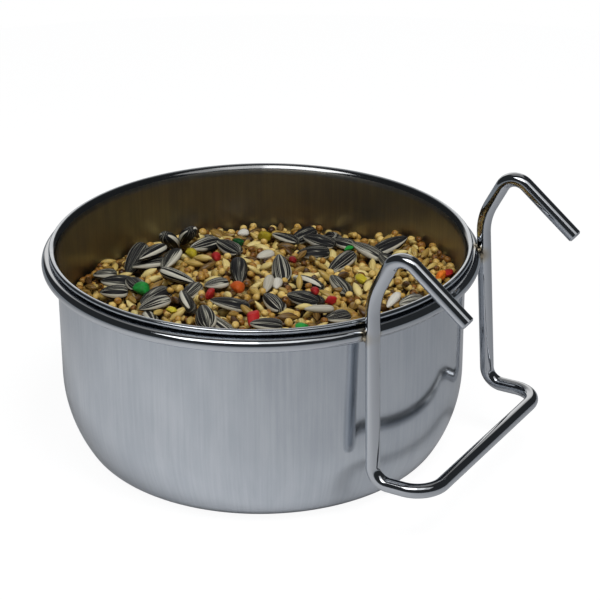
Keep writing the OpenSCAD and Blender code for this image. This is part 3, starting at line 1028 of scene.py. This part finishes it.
def add_grains():
    millet = grain_material("millet", MILLET_TINTS, 0.26, 0.5, MOTTLE_SCALE, gloss=0.7)
    grain_piece("millet_heap", [grain_form(7, 10, round_width)], "millet", "millet_grains",
                millet)
    canary = grain_material("canary_seed", CANARY_TINTS, 0.26, 0.9, gloss=0.7)
    grain_piece("canary_heap", [grain_form(10, 12, spindle_width, 0.8)], "canary",
                "canary_grains", canary)
    grain_piece("sunflower_heap", [grain_form(18, 24, kernel_width, 0.9)], "sunflower",
                "sunflower_seeds", sunflower_hull())
    white = grain_material("white_hull", WHITE_TINTS, 0.32, 0.6)
    grain_piece("white_heap", [grain_form(14, 18, kernel_width)], "white", "white_seeds",
                white)
    crumbs = [crumb_form(seed) for seed in range(CRUMB_FORMS)]
    for colour, stops in PELLET_TINTS.items():
        pellet = grain_material("pellet_" + colour, stops, 0.5, 0.9, MOTTLE_SCALE)
        grain_piece("pellets_" + colour + "_heap", crumbs, colour, "pellets_" + colour,
                    pellet)


# Stage and light


FLOOR_R = 0.42
FLOOR_SIDES = 96
FLOOR_Z = -0.2 * MM
# A painted pool of light: the table's colour for all but the camera, darker with distance in
# metres from its brightest spot
FLOOR_BRIGHT_SPOT = (-0.037, -0.08, 0)
FLOOR_LIGHT_POOL_TINTS = [
    (0.05, (0.73, 0.74, 0.76)), (0.14, (0.49, 0.5, 0.52)), (0.24, (0.38, 0.39, 0.41)),
    (0.36, (0.3, 0.31, 0.33)),
]
# Strength of the table's plain white, and its share in what the camera sees and steel mirrors
FLOOR_WHITE = 1.12
CAMERA_WHITE = 0.84
MIRRORED_WHITE = 0.05
# How far the middle of the sheet of paper behind the cup lies to the left
PAPER_OFFSET = 0.08


def floor_material():
    """Pale table top. The camera sees it as white with the cup's soft shadow on it. Other rays see
    a painted pool of light, pale round one spot and darker further off.
    """
    material, tree, shader = new_material("floor")
    tree.nodes.remove(shader)
    rays = tree.add("LightPath")
    away = tree.measure("DISTANCE", tree.place(), FLOOR_BRIGHT_SPOT)
    reach = tree.math("MULTIPLY", away, tree.math("SUBTRACT", 1, rays["Is Camera Ray"]))
    # Painted pool of light: for rays other than the camera's, the table's colour darkens away from
    # the bright spot
    pale = tree.add("BsdfDiffuse", Color=tree.ramp(reach, FLOOR_LIGHT_POOL_TINTS))
    white = tree.add("Emission", Color=(1, 1, 1, 1), Strength=FLOOR_WHITE)
    mirrored = tree.math("MULTIPLY", rays["Is Glossy Ray"], MIRRORED_WHITE)
    share = tree.math("MULTIPLY_ADD", rays["Is Camera Ray"], CAMERA_WHITE, mirrored)
    top = tree.add("MixShader", share, pale[0], white[0])
    # From below the floor is clear, so that the cup's underside can be seen
    below = tree.add("NewGeometry")["Backfacing"]
    sided = tree.add("MixShader", below, top[0], tree.add("BsdfTransparent")[0])
    tree.feed(tree.nodes["Material Output"].inputs["Surface"], sided[0])
    return material


def add_floor():
    turns = [2 * math.pi * k / FLOOR_SIDES for k in range(FLOOR_SIDES)]
    points = [(FLOOR_R * math.cos(t), FLOOR_R * math.sin(t), FLOOR_Z) for t in turns]
    mesh = bpy.data.meshes.new("floor")
    mesh.from_pydata(points, [], [tuple(range(FLOOR_SIDES))])
    floor = bpy.data.objects.new("floor", mesh)
    bpy.context.collection.objects.link(floor)
    mesh.materials.append(floor_material())


def add_world():
    """White for the camera and a soft fill for matt things.

    Polished steel mirrors the studio round the table: a dim room, and a pale sheet of paper that
    hangs behind the cup and fades upward.
    """
    world = bpy.data.worlds.new("world")
    bpy.context.scene.world = world
    tree = Tree(world)
    tree.nodes.clear()
    rays = tree.add("LightPath")
    way = tree.add("TexCoord")["Generated"]
    height = tree.add("SeparateXYZ", way)["Z"]
    aside = tree.math("ADD", tree.measure("DOT_PRODUCT", way, BESIDE), PAPER_OFFSET)
    paper = tree.fade(tree.measure("DOT_PRODUCT", way, -BEFORE), 0.05, 0.3, 0, 1)
    for part in (
        tree.fade(tree.math("ABSOLUTE", aside), 0.32, 0.44, 1, 0),
        tree.fade(height, 0.4, 0.65, 1, 0.3),
        tree.fade(height, -0.02, 0.08, 0, 1),
    ):
        paper = tree.math("MULTIPLY", paper, part)
    # The room is dimmer above the table's height than below it
    dimness = tree.fade(height, -0.03, 0.03, 0.3, 0.03)
    pale = tree.add("Background", Color=(1, 0.98, 0.95, 1), Strength=0.9)
    dark = tree.add("Background", Color=(0.85, 0.93, 1, 1), Strength=dimness)
    fill = tree.add("Background", Color=(0.95, 0.97, 1, 1), Strength=0.07)
    white = tree.add("Background", Color=(1, 1, 1, 1), Strength=1)
    studio = tree.add("MixShader", paper, dark[0], pale[0])
    metal = tree.add("MixShader", rays["Is Glossy Ray"], fill[0], studio[0])
    clear = tree.math("MAXIMUM", rays["Is Camera Ray"], rays["Is Transmission Ray"])
    seen = tree.add("MixShader", clear, metal[0], white[0])
    tree.add("OutputWorld", seen[0])


def add_panel(name, near, far, left, right, height, radiance, mirrored=True):
    """A level lamp overhead, by its edges before the cup and beside it, as the camera sees it."""
    data = bpy.data.lights.new(name, "AREA")
    data.shape = "RECTANGLE"
    data.size, data.size_y = right - left, far - near
    data.energy = radiance * math.pi * data.size * data.size_y
    lamp = bpy.data.objects.new(name, data)
    bpy.context.collection.objects.link(lamp)
    lamp.location = BEFORE * (near + far) / 2 + BESIDE * (left + right) / 2 + UPWARD * height
    turn = Matrix((BESIDE, UPWARD.cross(BESIDE), UPWARD)).transposed()
    lamp.rotation_euler = turn.to_euler()
    lamp.visible_glossy = mirrored


def add_lamps():
    """A softbox that dims to the right, and a key lamp that polished steel doesn't mirror."""
    add_panel("key", 0.2, 0.8, 0.05, 0.65, height=1.25, radiance=9, mirrored=False)
    add_panel("softbox", 0.33, 0.93, -0.8, -0.02, height=1, radiance=3)
    add_panel("softbox_side", 0.33, 0.93, -0.02, 0.35, height=1, radiance=1.15)
    add_panel("softbox_end", 0.33, 0.93, 0.35, 0.75, height=1, radiance=0.6)


add_cup()
add_holder()
fill_cup()
add_seed_bed()
add_grains()
add_camera()
add_floor()
add_world()
add_lamps()
bpy.context.scene.view_settings.view_transform = "Standard"
